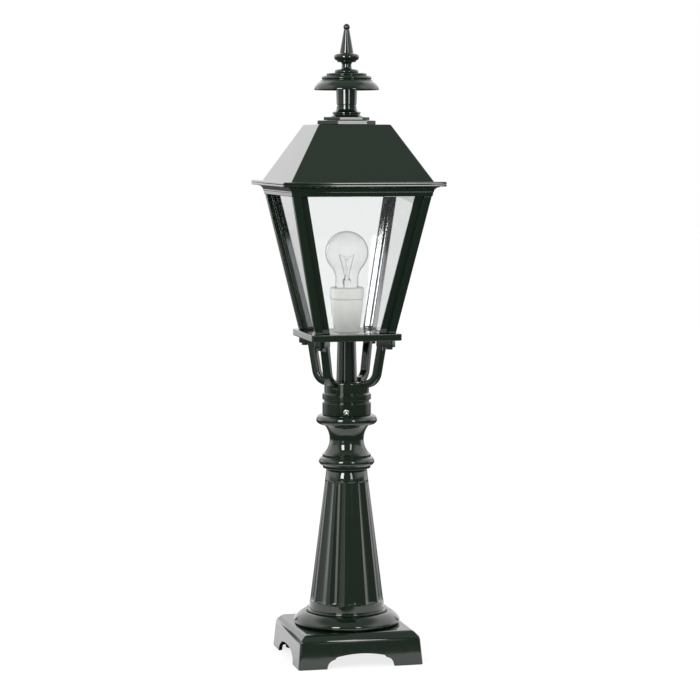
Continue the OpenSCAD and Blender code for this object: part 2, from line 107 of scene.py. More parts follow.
boxes = [
    softbox("box_left", -25, 1.2, 1.06, 0.36, 0.80, 16.0),
    softbox("box_right", 27.7, 1.2, 1.02, 0.20, 0.84, 8.0),
    softbox("skirt_left", -25, 2.5, 0.36, 0.62, 0.52, 2.0),
]
top_light = area_light("top_light", Vector((0, 0, 3.4)), 2.6, 2.6, 1.6)
top_light.visible_glossy = False


class Graph:
    """A few short ways to wire shader nodes."""

    def __init__(self, tree):
        self.tree = tree
        self.tree.nodes.clear()

    def add(self, kind, **values):
        node = self.tree.nodes.new(kind)
        for key, value in values.items():
            setattr(node, key, value)
        return node

    def link(self, a, b):
        self.tree.links.new(a, b)

    def put(self, socket, value):
        if isinstance(value, bpy.types.NodeSocket):
            self.link(value, socket)
        else:
            socket.default_value = value

    def math(self, operation, a, b=0.0):
        node = self.add("ShaderNodeMath", operation=operation)
        self.put(node.inputs[0], a)
        self.put(node.inputs[1], b)
        return node.outputs[0]

    def ramp(self, value, low, high, out_low=0.0, out_high=1.0):
        node = self.add("ShaderNodeMapRange", interpolation_type="SMOOTHSTEP")
        self.put(node.inputs["Value"], value)
        self.put(node.inputs["From Min"], low)
        self.put(node.inputs["From Max"], high)
        self.put(node.inputs["To Min"], out_low)
        self.put(node.inputs["To Max"], out_high)
        return node.outputs["Result"]

    def mix(self, factor, a, b):
        node = self.add("ShaderNodeMix", data_type="RGBA")
        self.put(node.inputs["Factor"], factor)
        self.put(node.inputs["A"], a)
        self.put(node.inputs["B"], b)
        return node.outputs["Result"]

    def noise(self, vector, scale, detail=2.0, roughness=0.5):
        node = self.add("ShaderNodeTexNoise")
        self.put(node.inputs["Vector"], vector)
        node.inputs["Scale"].default_value = scale
        node.inputs["Detail"].default_value = detail
        node.inputs["Roughness"].default_value = roughness
        return node.outputs["Fac"]

    def bump(self, height, distance, normal=None):
        node = self.add("ShaderNodeBump")
        node.inputs["Strength"].default_value = 1.0
        node.inputs["Distance"].default_value = distance
        self.put(node.inputs["Height"], height)
        if normal is not None:
            self.put(node.inputs["Normal"], normal)
        return node.outputs["Normal"]


def grey(value):
    return (value, value, value, 1.0)


# The studio's walls, each as where it begins to fade in, where it is full, and how bright it is.
# Azimuths are in degrees from the camera's side, and rises are sines of the angle above level.
FRONT = 0.20
FRONT_LEFT = (-38.0, -58.0, 0.68)
BANDS = ((92.0, 116.0, 1.7), (134.0, 148.0, 0.25), (151.5, 154.5, 1.35), (166.0, 172.0, 1.02))
FLAP_FRONT = 0.20
FLAP_BACK = (35.0, 75.0, 1.5)
FLAP_FOOT, FLAP_TOP = 0.16, 0.36
CEILING = (0.72, 0.90, 0.42)
GROUND = (-0.04, -0.15, 0.12)
# A patch stands where the right box does, for the glass, which the box itself doesn't light.
PATCH_AZIMUTH, PATCH_LEVEL = 27.0, 0.75
PATCH_SIDE = (9.0, 7.0)
PATCH_FOOT = (0.05, 0.15)
PATCH_TOP = (0.372, 0.366)
# How bright the studio is to the camera, through glass, mirrored in glass, and as fill light
# outside and inside the lantern.
BACKDROP, THROUGH_GLASS, MIRRORED_IN_GLASS, FILL, FILL_INSIDE = 1.0, 0.96, 0.55, 0.95, 1.9


def build_world():
    """A studio of soft grey bands round the object, white where the camera sees it."""
    world = bpy.data.worlds.new("studio")
    world.use_nodes = True
    bpy.context.scene.world = world
    g = Graph(world.node_tree)
    direction = g.add("ShaderNodeTexCoord").outputs["Generated"]
    parts = []
    for axis in (ACROSS, TOWARDS):
        dot = g.add("ShaderNodeVectorMath", operation="DOT_PRODUCT")
        g.link(direction, dot.inputs[0])
        dot.inputs[1].default_value = axis
        parts.append(dot.outputs["Value"])
    turn = g.math("MULTIPLY", g.math("ARCTAN2", parts[0], parts[1]), 180 / math.pi)
    swing = g.math("ABSOLUTE", turn)
    xyz = g.add("ShaderNodeSeparateXYZ")
    g.link(direction, xyz.inputs[0])
    rise = xyz.outputs["Z"]

    def fade(under, value, wall):
        start, full, brightness = wall
        return g.mix(g.ramp(value, start, full), under, grey(brightness))

    level = fade(grey(FRONT), turn, FRONT_LEFT)
    for band in BANDS:
        level = fade(level, swing, band)
    overhead = fade(grey(FLAP_FRONT), swing, FLAP_BACK)
    overhead = fade(overhead, rise, CEILING)
    level = g.mix(g.ramp(rise, FLAP_FOOT, FLAP_TOP), level, overhead)
    level = fade(level, rise, GROUND)

    beside = g.math("ABSOLUTE", g.math("SUBTRACT", turn, PATCH_AZIMUTH))
    patch = g.math("MULTIPLY", g.ramp(beside, *PATCH_SIDE), g.ramp(rise, *PATCH_TOP))
    patch = g.math("MULTIPLY", patch, g.ramp(rise, *PATCH_FOOT))
    level = g.mix(patch, level, grey(PATCH_LEVEL))

    rays = g.add("ShaderNodeLightPath")
    mirrored = g.math("MINIMUM", rays.outputs["Glossy Depth"], 1.0)
    through = g.mix(mirrored, grey(THROUGH_GLASS), grey(MIRRORED_IN_GLASS))
    level = g.mix(rays.outputs["Is Transmission Ray"], level, through)
    inside = g.math("MINIMUM", rays.outputs["Transmission Depth"], 1.0)
    scattered = g.math("MINIMUM", rays.outputs["Diffuse Depth"], 1.0)
    level = g.mix(scattered, level, g.mix(inside, grey(FILL), grey(FILL_INSIDE)))
    level = g.mix(rays.outputs["Is Camera Ray"], level, grey(BACKDROP))
    background = g.add("ShaderNodeBackground")
    g.link(level, background.inputs["Color"])
    background.inputs["Strength"].default_value = 1.0
    g.link(background.outputs[0], g.add("ShaderNodeOutputWorld").inputs["Surface"])


build_world()


# ---------------------------------------------------------------- materials


def material(name):
    """A new material with its graph, its shader, and a point's place in metres."""
    made = bpy.data.materials.new(name)
    made.use_nodes = True
    graph = Graph(made.node_tree)
    shader = graph.add("ShaderNodeBsdfPrincipled")
    out = graph.add("ShaderNodeOutputMaterial")
    graph.link(shader.outputs[0], out.inputs["Surface"])
    place = graph.add("ShaderNodeTexCoord").outputs["Object"]
    return made, graph, shader, place


def green_paint():
    made, n, shader, place = material("gloss_green_paint")
    cloud = n.noise(place, 38.0, 4.0, 0.6)
    tone = n.mix(cloud, (0.0030, 0.0086, 0.0041, 1), (0.0040, 0.0100, 0.0051, 1))
    n.link(tone, shader.inputs["Base Color"])
    n.link(n.ramp(n.noise(place, 90.0, 3.0), 0.3, 0.7, 0.04, 0.075), shader.inputs["Roughness"])
    wavy = n.bump(n.noise(place, 40.0, 1.0, 0.3), 0.00004)
    peel = n.bump(n.noise(place, 420.0, 1.0, 0.4), 0.000003, normal=wavy)
    n.link(peel, shader.inputs["Normal"])
    shader.inputs["IOR"].default_value = 1.52
    shader.inputs["Coat Weight"].default_value = 0.25
    shader.inputs["Coat Roughness"].default_value = 0.03
    return made


def clear_glass(name, tint, spots):
    made, n, shader, place = material(name)
    dust = n.noise(place, spots, 5.0, 0.6)
    n.link(n.mix(dust, tint, (1.0, 1.0, 1.0, 1)), shader.inputs["Base Color"])
    n.link(n.ramp(dust, 0.45, 0.9, 0.0, 0.015), shader.inputs["Roughness"])
    shader.inputs["Transmission Weight"].default_value = 1.0
    shader.inputs["IOR"].default_value = 1.46
    return made


def porcelain():
    made, n, shader, place = material("white_porcelain")
    cloud = n.noise(place, 60.0, 4.0, 0.6)
    n.link(n.mix(cloud, (0.78, 0.78, 0.75, 1), (0.86, 0.86, 0.83, 1)), shader.inputs["Base Color"])
    n.link(n.ramp(cloud, 0.3, 0.7, 0.10, 0.2), shader.inputs["Roughness"])
    n.link(n.bump(n.noise(place, 150.0, 2.0, 0.4), 0.00008), shader.inputs["Normal"])
    shader.inputs["Coat Weight"].default_value = 0.6
    shader.inputs["Coat Roughness"].default_value = 0.06
    return made


def bare_metal(name, dark, light, rough_low, rough_high, stretch=(1, 1, 1), scale=120.0):
    made, n, shader, place = material(name)
    drawn = n.add("ShaderNodeMapping")
    drawn.inputs["Scale"].default_value = stretch
    n.link(place, drawn.inputs["Vector"])
    grain = n.noise(drawn.outputs[0], scale, 5.0, 0.65)
    n.link(n.mix(grain, dark, light), shader.inputs["Base Color"])
    n.link(n.ramp(grain, 0.3, 0.7, rough_low, rough_high), shader.inputs["Roughness"])
    n.link(n.bump(grain, 0.00002), shader.inputs["Normal"])
    shader.inputs["Metallic"].default_value = 1.0
    return made


def sheath():
    made, n, shader, place = material("black_sheath")
    grain = n.noise(place, 400.0, 3.0)
    n.link(n.mix(grain, (0.012, 0.012, 0.013, 1), (0.03, 0.03, 0.032, 1)), shader.inputs["Base Color"])
    n.link(n.ramp(grain, 0.3, 0.7, 0.45, 0.65), shader.inputs["Roughness"])
    n.link(n.bump(grain, 0.00004), shader.inputs["Normal"])
    return made


PAINT = green_paint()
PANE = clear_glass("window_glass", (0.975, 0.99, 0.985, 1), 30.0)
BULB = clear_glass("bulb_glass", (0.975, 0.98, 0.98, 1), 60.0)
PORCELAIN = porcelain()
STRIP = bare_metal(
    "rolled_aluminium", (0.62, 0.64, 0.66, 1), (0.72, 0.74, 0.76, 1), 0.08, 0.16, (1, 1, 0.05), 700.0,
)
CAP = bare_metal("cap_aluminium", (0.66, 0.66, 0.67, 1), (0.80, 0.80, 0.81, 1), 0.22, 0.36)
STAINLESS = bare_metal(
    "stainless_steel", (0.55, 0.55, 0.56, 1), (0.72, 0.72, 0.73, 1), 0.18, 0.30, scale=300.0,
)
ZINC = bare_metal("zinc_plate", (0.42, 0.43, 0.44, 1), (0.58, 0.59, 0.60, 1), 0.3, 0.45, scale=200.0)
BRASS = bare_metal("plain_brass", (0.60, 0.44, 0.18, 1), (0.74, 0.57, 0.27, 1), 0.22, 0.38)
WIRE = bare_metal("lamp_wire", (0.60, 0.60, 0.61, 1), (0.78, 0.78, 0.79, 1), 0.3, 0.5, scale=900.0)
SHEATH = sheath()


# ---------------------------------------------------------------- shape helpers, in millimetres


def fillet(points, closed=False, step=11.0):
    """Corner points (a, b, radius) to a line with true round corners; a radius of 0 stays sharp."""
    nearly_straight = math.radians(88.5)
    most_of_side = 0.49
    out = []
    count = len(points)
    for i, (x, y, r) in enumerate(points):
        if not closed and i in (0, count - 1) or r <= 0:
            out.append((x, y))
            continue
        here = Vector((x, y))
        back = Vector(points[i - 1][:2]) - here
        ahead = Vector(points[(i + 1) % count][:2]) - here
        room = min(back.length, ahead.length) * most_of_side
        back.normalize()
        ahead.normalize()
        half = math.acos(max(-1.0, min(1.0, back.dot(ahead)))) / 2
        if half > nearly_straight:
            out.append((x, y))
            continue
        run = min(r / math.tan(half), room)
        r = run * math.tan(half)
        centre = here + (back + ahead).normalized() * (r / math.sin(half))
        a = here + back * run - centre
        b = here + ahead * run - centre
        a0 = math.atan2(a.y, a.x)
        turn = math.atan2(b.y, b.x) - a0
        turn = (turn + math.pi) % (2 * math.pi) - math.pi
        parts = max(2, int(math.ceil(abs(math.degrees(turn)) / step)))
        for k in range(parts + 1):
            t = a0 + turn * k / parts
            out.append((centre.x + r * math.cos(t), centre.y + r * math.sin(t)))
    return out


def arc(cx, cy, r, start, end, parts):
    """Points on a circle between two angles in degrees, as sharp points for fillet()."""
    made = []
    for k in range(parts + 1):
        t = math.radians(start + (end - start) * k / parts)
        made.append((cx + r * math.cos(t), cy + r * math.sin(t), 0))
    return made


def clean_mesh(name, verts, faces):
    """A mesh from points in millimetres, with its doubles merged and its normals outward."""
    mesh = bpy.data.meshes.new(name)
    mesh.from_pydata([Vector(v) * MM for v in verts], [], faces)
    bm = bmesh.new()
    bm.from_mesh(mesh)
    bmesh.ops.remove_doubles(bm, verts=bm.verts, dist=1e-6)
    bmesh.ops.dissolve_degenerate(bm, edges=bm.edges, dist=1e-7)
    bmesh.ops.recalc_face_normals(bm, faces=bm.faces)
    bm.to_mesh(mesh)
    bm.free()
    return mesh


def unplaced(mesh):
    """An object that isn't a piece, for booleans."""
    loose = bpy.data.objects.new("scratch", mesh)
    bpy.context.scene.collection.objects.link(loose)
    return loose


def scratch(verts, faces):
    return unplaced(clean_mesh("scratch", verts, faces))


def place(name, mesh, body, slot, paint, nodes, weighted=True):
    """A smooth piece that rides on a body, takes a finish and stands for CAD nodes; slot is not used."""
    mesh.name = name
    for face in mesh.polygons:
        face.use_smooth = True
    mesh.materials.clear()
    mesh.materials.append(paint)
    piece = bpy.data.objects.new(name, mesh)
    bpy.context.scene.collection.objects.link(piece)
    if weighted:
        modifier = piece.modifiers.new("weighted", "WEIGHTED_NORMAL")
        modifier.keep_sharp = True
        modifier.weight = 60
    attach(piece, body)
    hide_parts(*nodes)
    return piece


def finish_mesh(name, verts, faces, body, slot, paint, nodes, weighted=True):
    return place(name, clean_mesh(name, verts, faces), body, slot, paint, nodes, weighted)


def loops_to_faces(count, around, wrap):
    """Quads between rings of points, joined from the last ring to the first if wrap is set."""
    faces = []
    for i in range(count if wrap else count - 1):
        j = (i + 1) % count
        for k in range(around):
            m = (k + 1) % around
            faces.append((i * around + k, i * around + m, j * around + m, j * around + k))
    return faces


def capped(count, around):
    """Faces of a tube of rings, closed at both ends."""
    faces = loops_to_faces(count, around, False)
    faces.append(tuple(range(around)))
    faces.append(tuple(range((count - 1) * around, count * around))[::-1])
    return faces


def revolve(profile, around, shape=None):
    """Verts and faces of a profile turned about Z: closed when it never meets the axis."""
    verts, faces, rows = [], [], []
    on_axis = 1e-6
    wrap = all(r > on_axis for r, z in profile)
    for r, z in profile:
        row = []
        if r <= on_axis:
            row.append(len(verts))
            verts.append((0, 0, z))
        else:
            for k in range(around):
                t = 2 * math.pi * k / around
                radius = shape(r, z, t) if shape else r
                row.append(len(verts))
                verts.append((radius * math.cos(t), radius * math.sin(t), z))
        rows.append(row)
    for i in range(len(rows) if wrap else len(rows) - 1):
        a, b = rows[i], rows[(i + 1) % len(rows)]
        for k in range(around):
            m = (k + 1) % around
            if len(a) == 1 and len(b) == 1:
                break
            if len(a) == 1:
                faces.append((a[0], b[m], b[k]))
            elif len(b) == 1:
                faces.append((a[k], a[m], b[0]))
            else:
                faces.append((a[k], a[m], b[m], b[k]))
    return verts, faces


def lathe(name, profile, body, slot, paint, nodes, around=144, shape=None):
    """A turned piece; shape gives the radius at (radius, height, angle) where it isn't round."""
    verts, faces = revolve(profile, around, shape)
    return finish_mesh(name, verts, faces, body, slot, paint, nodes)


def ring_of(sides, apothem, corner, spin, per_corner):
    """Points of a regular polygon with rounded corners, kept wide enough not to fold."""
    step = 2 * math.pi / sides
    reach = 1 / math.cos(step / 2)
    corner = max(0.02, min(corner, apothem * 0.9))
    points = []
    for s in range(sides):
        middle = spin + step * (s + 0.5)
        cx = (apothem - corner) * reach * math.cos(middle)
        cy = (apothem - corner) * reach * math.sin(middle)
        for k in range(per_corner):
            t = middle - step / 2 + step * k / (per_corner - 1)
            points.append((cx + corner * math.cos(t), cy + corner * math.sin(t)))
    return points


def frustum(profile, corner, per_corner, sides=4, spin=0.0):
    """A closed profile of (apothem, z) run round a polygon; corner gives its radius at an apothem."""
    verts = []
    for apothem, z in profile:
        for x, y in ring_of(sides, apothem, corner(apothem), spin, per_corner):
            verts.append((x, y, z))
    return verts, loops_to_faces(len(profile), sides * per_corner, True)


def carve(base, cutters, operation="DIFFERENCE"):
    """base with every cutter taken away or joined on, as a new mesh; all the inputs are removed."""
    for cutter in cutters:
        modifier = base.modifiers.new("carve", "BOOLEAN")
        modifier.operation = operation
        modifier.solver = "EXACT"
        modifier.object = cutter
    bpy.context.view_layer.update()
    mesh = bpy.data.meshes.new_from_object(base.evaluated_get(bpy.context.evaluated_depsgraph_get()))
    for used in [base, *cutters]:
        bpy.data.objects.remove(used, do_unlink=True)
    return mesh


def soften(piece, width, angle=32.0):
    """Round a piece's edges that turn by more than an angle in degrees, with a bevel in millimetres."""
    modifier = piece.modifiers.new("soften", "BEVEL")
    modifier.width = width * MM
    modifier.segments = 2
    modifier.limit_method = "ANGLE"
    modifier.angle_limit = math.radians(angle)
    modifier.miter_outer = "MITER_ARC"


def settle(piece, flat_area):
    """Make the modifiers' result the piece's mesh, with faces over flat_area in square mm shaded flat."""
    bpy.context.view_layer.update()
    mesh = bpy.data.meshes.new_from_object(piece.evaluated_get(bpy.context.evaluated_depsgraph_get()))
    piece.modifiers.clear()
    piece.data = mesh
    for face in mesh.polygons:
        face.use_smooth = face.area < flat_area * MM * MM


def prism(outline, low, high, turn=0.0):
    """Verts and faces of an (x, z) outline run along Y, then turned about Z."""
    c, s = math.cos(turn), math.sin(turn)
    verts = []
    for y in (low, high):
        for x, z in outline:
            verts.append((x * c - y * s, x * s + y * c, z))
    n = len(outline)
    faces = [tuple(range(n)), tuple(range(n, 2 * n))[::-1]]
    for k in range(n):
        m = (k + 1) % n
        faces.append((k, m, n + m, n + k))
    return verts, faces


def turned(verts, angle):
    """The same points turned about Z, in radians."""
    c, s = math.cos(angle), math.sin(angle)
    return [(x * c - y * s, x * s + y * c, z) for x, y, z in verts]


# ---------------------------------------------------------------- foot


def arch_outline():
    """The opening in a side of the foot: a flat crown on two round shoulders."""
    half, corner, shoulder, rise, crown, below = 47.8, 12.8, 34.0, 15.8, 19.6, -12
    radius = (shoulder ** 2 + (crown - rise) ** 2) / (2 * (crown - rise))
    swing = math.degrees(math.asin(shoulder / radius))
    points = [(-half, below, 0)]
    points += arc(corner - half, 0, corner, 180, 98, 8)
    points += arc(0, crown - radius, radius, 90 + swing, 90 - swing, 20)
    points += arc(half - corner, 0, corner, 82, 0, 8)
    points += [(half, below, 0)]
    return [(x, z) for x, z, _ in points]


def foot_corner(apothem):
    """Corner radius of the foot: widest outside, less inside, and nearly round at its bore."""
    if apothem > 84:
        return 3.2
    if apothem > 60:
        return 2.0
    return apothem * 0.9


def build_bosses():
    """Four upright bosses inside the foot's corners."""
    reach, bore, outer, low, high = 65, 4, 9, 0.2, 41
    profile = fillet([(bore, low, 0.5), (outer, low, 0.8), (outer, high, 0), (bore, high, 0)], closed=True)
    bosses = []
    for x in (-reach, reach):
        for y in (-reach, reach):
            verts, faces = revolve(profile, 40)
            bosses.append(scratch([(vx + x, vy + y, vz) for vx, vy, vz in verts], faces))
    return bosses


def build_plinth():
    past_foot = 120
    bore = 8.3
    outline = fillet([
        (83.3, 0, 0.8), (88.3, 0, 1.0), (84.9, 37.8, 8.5), (76.4, 46.7, 8.5), (40, 46.7, 0),
        (bore, 46.7, 0), (bore, 40.7, 0), (78, 40.7, 2.0),
    ], closed=True)
    shell = scratch(*frustum(outline, foot_corner, 6))
    arches = []
    for turn in (0.0, math.pi / 2):
        arches.append(scratch(*prism(arch_outline(), -past_foot, past_foot, turn)))
    base = unplaced(carve(shell, arches))
    mesh = carve(base, build_bosses(), "UNION")
    piece = place("plinth_casting", mesh, "pedestal", "green_paint", PAINT, ("plinth",), weighted=False)
    soften(piece, 0.7, angle=38)
    settle(piece, flat_area=600)
    seat = fillet([(bore, 46.6, 0), (68, 46.6, 0), (68, 47.25, 0.1), (bore, 47.25, 0)], closed=True)
    lathe("plinth_seat", seat, "pedestal", "green_paint", PAINT, ("plinth",), 180)


build_plinth()


# ---------------------------------------------------------------- column and capital

FLUTES, FLUTE_R, FLUTE_HALF = 12, 25.0, math.radians(12)
FLUTE_LOW, FLUTE_HIGH = 79.0, 249.0
FLUTE_RUN_LOW, FLUTE_RUN_HIGH = 3.5, 2.5
SHAFT_LOW, SHAFT_HIGH, INNER = 51.6, 30.3, 25.0
BLEND = 0.30


def shaft_radius(z):
    return SHAFT_LOW + (SHAFT_HIGH - SHAFT_LOW) * (z - FLUTE_LOW) / (FLUTE_HIGH - FLUTE_LOW)


def flute_depth(r):
    sagitta = FLUTE_R - math.sqrt(FLUTE_R ** 2 - (r * math.sin(FLUTE_HALF)) ** 2)
    return r * (1 - math.cos(FLUTE_HALF)) + sagitta


def fluted(r, z, t):
    """Radius of the shaft at an angle: round flutes that run out at both ends, with softened edges."""
    if z < FLUTE_LOW - 0.5 or z > FLUTE_HIGH + 0.5 or r < INNER:
        return r
    step = 2 * math.pi / FLUTES
    off = (t - math.pi / 2 + step / 2) % step - step / 2
    centre = r - flute_depth(r) + FLUTE_R
    inside = FLUTE_R ** 2 - (centre * math.sin(off)) ** 2
    clear_of_flute = r + 9
    floor = centre * math.cos(off) - math.sqrt(inside) if inside > 0 else clear_of_flute
    run_low = max((z - FLUTE_LOW) / FLUTE_RUN_LOW, 0.0)
    run_high = max((FLUTE_HIGH - z) / FLUTE_RUN_HIGH, 0.0)
    ends = min(run_low, run_high, 1.0)
    floor = r + (floor - r) * math.sqrt(max(0.0, 1 - (1 - ends) ** 2))
    h = max(0.0, min(1.0, 0.5 + 0.5 * (floor - r) / BLEND))
    return floor * (1 - h) + r * h - BLEND * h * (1 - h)


def build_column():
    roll = arc(70.35, 51.36, 4.5, -64, 30, 9)
    ovolo = arc(47.7, 34.9, 32.5, 36, 66.5, 16)
    rows = 60
    levels = [FLUTE_LOW + (FLUTE_HIGH - FLUTE_LOW) * k / rows for k in range(rows + 1)]
    levels += [FLUTE_LOW + rise for rise in (0.3, 0.7, 1.2, 1.8, 2.4)]
    levels += [FLUTE_HIGH - drop for drop in (0.25, 0.6, 1.0, 1.5, 2.0)]
    shaft = [(shaft_radius(z), z, 0) for z in sorted(levels)]
    profile = fillet(
        [(42, 47.3, 0)] + roll + ovolo[:-1]
        + [(59.9, 64.7, 0.4), (56.6, 64.9, 0.3)] + arc(55.8, 66.4, 1.95, -60, 60, 8)
        + [(52.7, 68.6, 0.5), (52.6, 78.2, 0.5)]
        + shaft
        + [(30.4, 249.8, 0.3), (28.9, 264.45, 0), (20, 264.45, 0)],
        closed=True,
    )
    lathe("column_casting", profile, "pedestal", "green_paint", PAINT, ("column",), 432, fluted)


build_column()


def build_capital():
    low_torus = arc(33.2, 276.1, 5.9, -72, 72, 16)
    waist = arc(53, 307.2, 29, 227.5, 140, 30)
    high_torus = arc(36.3, 334.6, 6.6, -75, 80, 16)
    profile = fillet(
        [(18, 264.55, 0), (28.6, 264.55, 0), (28.7, 265.8, 0.4), (33.4, 266.4, 0.7), (33.6, 270.2, 0.5)]
        + low_torus
        + [(34.0, 282.3, 0.4), (34.0, 285.8, 0.7)]
        + waist
        + [(32.6, 327.3, 0.6), (36.5, 328.1, 0.4)]
        + high_torus
        + [(36.6, 341.2, 0.3), (27, 341.2, 0.3), (27, 374, 0.8), (8.3, 374, 0), (8.3, 368, 0),
           (18, 368, 0)],
        closed=True,
    )
    lathe("capital_casting", profile, "pedestal", "green_paint", PAINT, ("capital",), 192)


build_capital()

# ---------------------------------------------------------------- bracket


def sweep_section(width, thick, corner):
    """Points of a rectangle with round corners, about its middle."""
    per = 4
    points = []
    for sx, sy, start in ((1, 1, 0), (-1, 1, 90), (-1, -1, 180), (1, -1, 270)):
        for k in range(per + 1):
            t = math.radians(start + 90 * k / per)
            points.append((
                sx * (width / 2 - corner) + corner * math.cos(t),
                sy * (thick / 2 - corner) + corner * math.sin(t),
            ))
    return points


def arm_path():
    """Centre line of an arm as (reach, z, direction angle in degrees)."""
    cx, cz, r, lean = 30.9, 404.6, 19.0, 10.8
    into_hub, steps = 3.0, 16
    path = [(cx - into_hub, cz - r, 0.0)]
    for k in range(steps + 1):
        a = -90 + (90 - lean) * k / steps
        path.append((cx + r * math.cos(math.radians(a)), cz + r * math.sin(math.radians(a)), a + 90))
    ux, uz = math.sin(math.radians(lean)), math.cos(math.radians(lean))
    ex, ez = path[-1][0], path[-1][1]
    for run in (8, 16, 24, 32, 39.5):
        path.append((ex + ux * run, ez + uz * run, 90 - lean))
    return path


def build_arm(turn):
    section = sweep_section(11.4, 10.8, 2.6)
    verts = []
    path = arm_path()
    for reach, z, heading in path:
        a = math.radians(heading)
        for across, out in section:
            verts.append((reach + out * math.sin(a), across, z - out * math.cos(a)))
    return scratch(turned(verts, turn), capped(len(path), len(section)))


def build_lug(turn):
    """The flat pad on an arm's end, with its edges rolled in above and below."""
    near, far, half, corner = 50.5, 76.6, 5.7, 2.4
    rows = [(0.9, 438.7), (0.3, 438.95), (0, 439.6), (0, 447.6), (0.3, 448.15), (0.8, 448.35)]
    verts = []
    for inset, z in rows:
        ring = fillet([
            (near + inset, -half + inset, corner), (far - inset, -half + inset, corner),
            (far - inset, half - inset, corner), (near + inset, half - inset, corner),
        ], closed=True, step=22)
        verts += [(x, y, z) for x, y in ring]
    return scratch(turned(verts, turn), capped(len(rows), len(ring)))


SCREW_Z = 347.5
SCREW_TURNS = [256 + 120 * k for k in range(3)]
SCREW_BORE_R, SCREW_SEAT_R, SCREW_SEAT = 3.05, 4.9, 33.2


def build_bracket():
    hub = fillet([
        (27.1, 341.5, 0.4), (34.1, 341.5, 0.7), (34.1, 358.6, 0.9), (31.6, 359.6, 0.7), (31.6, 362.2, 0.7),
        (34.2, 363.0, 0.8), (34.2, 370.8, 0.9), (31.5, 372.0, 0.6), (31.5, 388, 2.2), (14.2, 388, 0.6),
        (9, 388, 0.4), (9, 384, 0), (27.1, 384, 0),
    ], closed=True)
    base = scratch(*revolve(hub, 144))
    joined = []
    for k in range(4):
        turn = math.radians(45 + 90 * k)
        joined += [build_arm(turn), build_lug(turn)]
    base = unplaced(carve(base, joined, "UNION"))
    cuts = []
    for turn in SCREW_TURNS:
        cuts.append(scratch(*radial_pin(turn, 20, 45, SCREW_BORE_R, 24)))
        cuts.append(scratch(*radial_pin(turn, SCREW_SEAT, 40, SCREW_SEAT_R, 32)))
    mesh = carve(base, cuts)
    place("bracket_casting", mesh, "head", "green_paint", PAINT, ("arm_bracket",))


def radial_pin(angle, start, end, radius, around):
    """Verts and faces of a plain cylinder along a radius of the collar, at its screws' height."""
    a = math.radians(angle)
    verts = []
    for reach in (start, end):
        for k in range(around):
            t = 2 * math.pi * k / around
            across, up = radius * math.cos(t), radius * math.sin(t)
            verts.append((
                reach * math.cos(a) - across * math.sin(a),
                reach * math.sin(a) + across * math.cos(a),
                SCREW_Z + up,
            ))
    return verts, capped(2, around)


build_bracket()


def hexagonal(t):
    """Radius factor that turns a circle into a hexagon of the same outer reach."""
    step = math.pi / 3
    off = (t + step / 2) % step - step / 2
    return math.cos(step / 2) / math.cos(off)


def screw_recess(r, z, t):
    """Radius of a set screw's head, with a hexagon inside its recess."""
    recess_floor, recess_r = 33.85, 2.15
    return r if z < recess_floor or r > recess_r else r * hexagonal(t)


def build_set_screws():
    """Pan heads with a hexagon recess, on the collar's radius."""
    profile = fillet([
        (0, 27.8, 0), (2.9, 27.8, 0.4), (2.95, 33.7, 0), (4.2, 33.7, 0.2), (4.2, 34.7, 0.9),
        (2.3, 35.75, 0.2), (2.1, 34.2, 0), (0, 33.9, 0),
    ])
    verts, faces = revolve(profile, 36, screw_recess)
    for index, turn in enumerate(SCREW_TURNS):
        a = math.radians(turn)
        moved = []
        for x, y, reach in verts:
            moved.append((
                reach * math.cos(a) - x * math.sin(a),
                reach * math.sin(a) + x * math.cos(a),
                SCREW_Z + y,
            ))
        name = f"set_screw_{index + 1}"
        finish_mesh(f"{name}_steel", moved, faces, "head", "stainless", STAINLESS, (name,))


build_set_screws()

sleeve = fillet([(9, 388.05, 0), (14.5, 388.05, 0.3), (12.8, 455.3, 0), (9, 455.3, 0)], closed=True)
lathe("sleeve_tube", sleeve, "head", "green_paint", PAINT, ("lead_sleeve",), 96)

# ---------------------------------------------------------------- frames and posts


def square_piece(name, profile, corner, body, nodes):
    verts, faces = frustum(profile, corner, 6)
    return finish_mesh(name, verts, faces, body, "green_paint", PAINT, nodes)


bottom = fillet([
    (40, 448.4, 0.4), (63.5, 448.4, 1.2), (63.5, 457.9, 0.9), (43, 457.9, 0.3), (43, 455.4, 0),
    (40, 455.4, 0),
], closed=True)
square_piece("base_frame_casting", bottom, lambda h: 2.6 if h > 60 else 1.0, "head", ("bottom_frame",))

crown = fillet(
    [(82, 647.5, 0.4), (97.6, 647.5, 0.8), (98.3, 652.6, 0.5), (99.1, 653.2, 0.3)]
    + arc(105.9, 653.0, 6.9, 172, 98, 9)
    + [(106.2, 660.8, 0.3), (113, 660.8, 0.9), (113, 663.8, 0.9), (82, 663.8, 0.4)],
    closed=True,
)
square_piece("top_frame_casting", crown, lambda h: 2.0 if h > 90 else 1.0, "head", ("top_frame",))

WALL_LOW, WALL_HIGH, BODY_LOW, BODY_HIGH = 56.5, 96.4, 457.9, 647.5


def wall(z):
    """Half the width across the posts at a height."""
    return WALL_LOW + (z - BODY_LOW) * (WALL_HIGH - WALL_LOW) / (BODY_HIGH - BODY_LOW)


